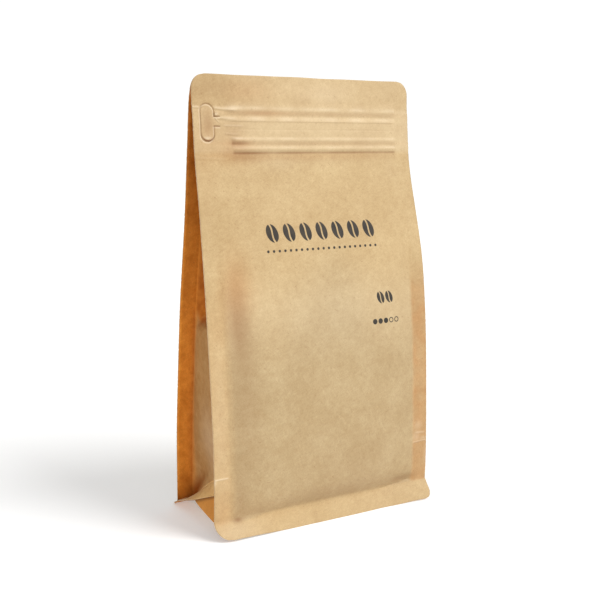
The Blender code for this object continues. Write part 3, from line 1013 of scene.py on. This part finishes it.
@dataclass(frozen=True)
class Kraft:
    """Unbleached kraft paper over a plastic film, matt, calendered and folded.

    The eye sees a warm brown with cloudy patches and short darker fibres, a faint soft sheen, and
    a greyer tone where the contents lie behind it. Where two plies have only air behind them, light
    comes through, and the paper glows orange.
    """

    plain: str = "#cbb285"
    backed: str = "#bea880"
    glowing: str = "#d3842c"
    # The pale tint of creases and wear, also used for painted highlights and painted light.
    wear_and_highlight_colour: str = "#f6e6c8"
    # The colour of painted shade in folds, hollows and cuts.
    painted_shade_colour: str = "#7a4c20"
    dark_fibre: str = "#8a6238"
    patch_tint: str = "#f1ece4"
    cloud_tint: str = "#f5f1eb"
    fibre_tint: str = "#e6dfd6"
    patch_size: float = 22.0
    cloud_size: float = 3.8
    fibre_length: float = 2.2
    fibre_width: float = 0.45
    fibre_turns: Point = (1.15, -0.35, -0.9)
    fibre_rise: float = 0.06
    fleck_share: float = 0.55
    roughness: Pair = (0.56, 0.72)
    gloss: float = 0.5
    nap: float = 0.06

    def material(self, name: str, stamp: Print | None = None) -> bpy.types.Material:
        """The paper's material, with the print on it if one is given."""
        made = bpy.data.materials.new(name)
        made.use_nodes = True
        tree = made.node_tree
        place = add_node(tree, "ShaderNodeTexCoord").outputs["Object"]
        scale = {"Vector": place, "Scale": (1 / MM, 1 / MM, 1 / MM)}
        in_mm = add_node(tree, "ShaderNodeMapping", {}, scale).outputs["Vector"]
        backed, glow, lightened, shaded = (
            add_node(tree, "ShaderNodeAttribute", {"attribute_name": look}).outputs["Fac"]
            for look in LOOKS
        )
        fields = (
            {"Scale": 1 / self.patch_size, "Detail": 3},
            {"Scale": 1 / self.cloud_size, "Detail": 4},
        )
        patches, clouds = (
            add_node(tree, "ShaderNodeTexNoise", {}, {"Vector": in_mm, **inputs}).outputs["Fac"]
            for inputs in fields
        )
        up, down, slant = (self.fibre_field(tree, in_mm, turn) for turn in self.fibre_turns)
        half_each = {0: 0.5, 2: up, 3: down}
        fibres = add_node(tree, "ShaderNodeMix", {"data_type": "FLOAT"}, half_each).outputs[0]
        falling = {"From Min": 0.7, "From Max": 0.3}
        matt, matter = self.roughness
        ranges = (
            {"Value": patches, **falling}, {"Value": clouds, **falling}, {"Value": fibres, **falling},
            {"Value": slant, "From Min": 0.66, "From Max": 0.76, "To Max": self.fleck_share},
            {"Value": clouds, "To Min": matt, "To Max": matter},
        )
        patchy, cloudy, fibrous, specks, rough = (
            add_node(tree, "ShaderNodeMapRange", {}, inputs).outputs["Result"] for inputs in ranges
        )
        # Painted light in the colour: light coming through the paper as an orange glow, wear together
        # with painted highlights as a pale tint, and painted shade in folds and hollows.
        layers = [
            ("MIX", backed, self.backed), ("MIX", glow, self.glowing),
            ("MULTIPLY", patchy, self.patch_tint), ("MULTIPLY", cloudy, self.cloud_tint),
            ("MULTIPLY", fibrous, self.fibre_tint), ("MIX", lightened, self.wear_and_highlight_colour),
            ("MIX", shaded, self.painted_shade_colour), ("MIX", specks, self.dark_fibre),
        ]
        if stamp is not None:
            layers.append(("MIX", self.printed(tree, in_mm, stamp, clouds), stamp.ink))
        colour = linear(self.plain)
        for blend, share, look in layers:
            inputs = {0: share, 6: colour, 7: linear(look)}
            kind = {"data_type": "RGBA", "blend_type": blend}
            colour = add_node(tree, "ShaderNodeMix", kind, inputs).outputs[2]
        grain = {"Height": fibres, "Strength": 0.35, "Distance": self.fibre_rise * MM}
        bump = add_node(tree, "ShaderNodeBump", {}, grain).outputs["Normal"]
        feed(tree, tree.nodes["Principled BSDF"], {
            "Base Color": colour, "Roughness": rough, "Normal": bump, "IOR": 1.45,
            "Specular IOR Level": self.gloss, "Sheen Weight": self.nap, "Sheen Roughness": 0.6,
        })
        return made

    def fibre_field(self, tree: Tree, in_mm: Socket, turn: float) -> Socket:
        """Noise stretched along fibres that lie a turn away from upright."""
        stretch = (self.fibre_width, self.fibre_width, self.fibre_length)
        inputs = {"Vector": in_mm, "Rotation": (0, turn, 0), "Scale": stretch}
        lie = add_node(tree, "ShaderNodeMapping", {"vector_type": "TEXTURE"}, inputs).outputs["Vector"]
        inputs = {"Vector": lie, "Scale": 1, "Detail": 2}
        return add_node(tree, "ShaderNodeTexNoise", {}, inputs).outputs["Fac"]

    def printed(
        self, tree: Tree, in_mm: Socket, stamp: Print, lightened: Socket
    ) -> Socket:
        """How much ink lies on the paper: the beans, the rule and the scale.

        Args:
            tree: the material's node tree.
            in_mm: the place in the frame in millimetres.
            stamp: what is printed and where.
            lightened: a noise field that thins the ink a little.
        """
        parts = add_node(tree, "ShaderNodeSeparateXYZ", {}, {0: in_mm})
        x, z = parts.outputs["X"], parts.outputs["Z"]

        def calc(operation: str, a: object, b: object = 0) -> Socket:
            """One step of arithmetic."""
            return add_node(tree, "ShaderNodeMath", {"operation": operation}, {0: a, 1: b}).outputs[0]

        steps = ("ADD", "SUBTRACT", "MULTIPLY", "DIVIDE", "MAXIMUM")
        plus, minus, times, over, most = (partial(calc, step) for step in steps)

        def far(a: object, b: object) -> Socket:
            """The length of a vector."""
            return calc("SQRT", plus(times(a, a), times(b, b)))

        def inside(distance: object) -> Socket:
            """1 where a distance in millimetres is negative, with a soft edge."""
            inputs = {"Value": distance, "From Min": stamp.edge, "From Max": -stamp.edge}
            return add_node(tree, "ShaderNodeMapRange", {}, inputs).outputs["Result"]

        def repeated(row: Row) -> tuple[Socket, Socket, Socket]:
            """The x and z from the nearest of a row's marks, and 1 inside the row."""
            cell = over(minus(x, row.left), row.pitch)
            local = times(minus(calc("FRACT", cell), 0.5), row.pitch)
            within = times(calc("GREATER_THAN", cell, 0), calc("LESS_THAN", cell, row.count))
            return local, minus(z, row.height), within

        def beans(row: Row) -> Socket:
            """A row of tilted beans with curved furrows."""
            local_x, local_z, within = repeated(row)
            long = row.size
            tilt = math.radians(stamp.bean_tilt)
            cos, sin = math.cos(tilt), math.sin(tilt)
            across = plus(times(local_x, cos), times(local_z, sin))
            along = minus(times(local_z, cos), times(local_x, sin))
            wave = times(calc("SINE", times(along, 2.4 / long)), stamp.furrow_sway * long)
            reach = far(over(across, stamp.bean_width * long), over(along, long))
            body = inside(times(minus(reach, 1), 0.7 * long))
            off = calc("ABSOLUTE", minus(across, wave))
            furrow = inside(minus(off, stamp.furrow * long))
            return times(within, times(body, minus(1, furrow)))

        dot_x, dot_z, within = repeated(stamp.rule)
        rule = times(within, inside(minus(far(dot_x, dot_z), stamp.rule.size)))
        ring_x, ring_z, within = repeated(stamp.scale)
        off = far(ring_x, ring_z)
        disc, hole = (inside(minus(off, size)) for size in (stamp.scale.size, stamp.hole))
        empty = calc("GREATER_THAN", x, stamp.scale.left + stamp.scale_full * stamp.scale.pitch)
        scale = times(within, times(disc, minus(1, times(hole, empty))))
        marks = most(most(beans(stamp.beans), rule), most(beans(stamp.pair), scale))
        wear = {"Value": lightened, "From Min": 0.2, "From Max": 0.8, "To Min": 0.92, "To Max": 1}
        density = add_node(tree, "ShaderNodeMapRange", {}, wear).outputs["Result"]
        return times(times(marks, calc("LESS_THAN", parts.outputs["Y"], 0)), density)


@dataclass
class Studio:
    """A white sweep, soft lights and the camera at the photograph's angle."""

    azimuth: float = -30.443
    pitch: float = 10.443
    roll: float = 0.375
    camera_mm: Point = (-252.17, -424.07, 208.67)
    focal_px: float = 905.05
    image_px: float = 600.0
    aside_px: float = 0.4
    sensor: float = 36.0
    nearest: float = 0.01
    sky_seen: float = 1.05
    sky_light: float = 0.5
    key_from: Point = (0.5, -0.6, 0.75)
    key_strength: float = 2.5
    fill_from: Point = (-0.8, -0.6, 0.25)
    fill_strength: float = 0.8
    spread: float = 34.0
    floor_half: float = 3.0
    floor_sides: int = 96
    floor_colour: str = "#e8e8e7"
    floor_glow: float = 0.28

    def camera(self, shift: Vector) -> bpy.types.Object:
        """Puts the camera where the photograph was taken from."""
        a, e, r = (math.radians(v) for v in (self.azimuth, self.pitch, self.roll))
        ahead = Vector((-math.sin(a) * math.cos(e), math.cos(a) * math.cos(e), -math.sin(e)))
        right = Vector((math.cos(a), math.sin(a), 0))
        up = right.cross(ahead)
        right, up = math.cos(r) * right + math.sin(r) * up, math.cos(r) * up - math.sin(r) * right
        data = bpy.data.cameras.new("camera")
        data.sensor_width = self.sensor
        data.lens = self.focal_px * self.sensor / self.image_px
        data.clip_start = self.nearest
        data.shift_x = -self.aside_px / self.image_px
        view = linked("camera", data)
        turn = Matrix((right, up, -ahead)).transposed().to_4x4()
        view.matrix_world = Matrix.Translation(Vector(self.camera_mm) * MM + shift) @ turn
        bpy.context.scene.camera = view
        return view

    def softbox(self, name: str, source: Point, strength: float) -> bpy.types.Object:
        """A large soft source, far off in a direction."""
        data = bpy.data.lights.new(name, "SUN")
        data.energy = strength
        data.angle = math.radians(self.spread)
        lamp = linked(name, data)
        lamp.rotation_euler = (-Vector(source)).to_track_quat("-Z", "Y").to_euler()
        return lamp

    def floor(self) -> bpy.types.Object:
        """A pale matt floor under everything."""
        mesh = bmesh.new()
        bmesh.ops.create_circle(mesh, cap_ends=True, segments=self.floor_sides, radius=self.floor_half)
        data = bpy.data.meshes.new("floor")
        mesh.to_mesh(data)
        mesh.free()
        finish = bpy.data.materials.new("white_matt_paper_sweep")
        finish.use_nodes = True
        tree = finish.node_tree
        feed(tree, tree.nodes["Principled BSDF"], {
            "Base Color": linear(self.floor_colour), "Emission Color": linear(WHITE),
            "Emission Strength": self.floor_glow, "Roughness": 0.9, "Specular IOR Level": 0.1,
        })
        data.materials.append(finish)
        ground = linked("floor", data)
        return ground

    def world(self) -> None:
        """An even white surround."""
        world = bpy.data.worlds.new("surround")
        world.use_nodes = True
        tree = world.node_tree
        seen = add_node(tree, "ShaderNodeLightPath").outputs["Is Camera Ray"]
        inputs = {"Value": seen, "To Min": self.sky_light, "To Max": self.sky_seen}
        strength = add_node(tree, "ShaderNodeMapRange", {}, inputs).outputs["Result"]
        feed(tree, tree.nodes["Background"], {"Color": linear(WHITE), "Strength": strength})
        bpy.context.scene.world = world

    def build(self, shift: Vector) -> None:
        """Sets up the stage."""
        bpy.context.scene.view_settings.view_transform = "Standard"
        self.world()
        self.floor()
        self.softbox("key", self.key_from, self.key_strength)
        self.softbox("fill", self.fill_from, self.fill_strength)
        self.camera(shift)


def standing_shift() -> Vector:
    """How far the form moves so that its front rim is where the solid's is."""
    low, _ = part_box(NODE)
    rim = FORM.half - FORM.bottom_corner
    reach = FORM.edge(FORM.front_left, FORM.front_right, rim, 0) + FORM.front_splay
    return Vector((0, low.y + reach * MM, low.z))


def main() -> None:
    """Builds the pouch sheet by sheet, then the stage."""
    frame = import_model()
    shift = standing_shift()
    LOG.info("the form moves by %.2f mm", shift.y / MM)
    paper = Kraft()
    printed = paper.material("kraft_paper_laminate_printed", Print())
    plain = paper.material("kraft_paper_laminate")
    # The gussets' copy of the paper has a brighter painted glow and a redder painted shade; the
    # bottom's copy has its own painted glow.
    inner = Kraft(plain="#e6be7f", backed="#b8905e", glowing="#f09f42", painted_shade_colour="#843f08",
                  cloud_tint="#ebe0cf", fibre_tint="#e5dacb", gloss=0.1, nap=0)
    shaded = inner.material("kraft_paper_laminate_gusset")
    under = Kraft(glowing="#dd9132", gloss=0.2, nap=0).material("kraft_paper_laminate_bottom")
    maker = SheetMaker(shift, Kraft(plain="#f2d9bd").material("kraft_paper_laminate_cut_edge"))
    front = FrontPanel()
    back = BackPanel(front)
    front.build(maker, printed)
    back.build(maker, plain)
    for side in Side:
        Gusset(side, front, back).build(maker, shaded)
    BottomPanel(front, back).build(maker, under)
    for piece in maker.made:
        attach(piece, BODY)
    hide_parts(NODE)
    LOG.info("%d sheets ride on %s of %d nodes", len(maker.made), BODY, len(frame["nodes"]))
    Studio().build(shift)


if __name__ == "__main__":
    logging.basicConfig(level=logging.INFO, format="%(message)s")
    main()
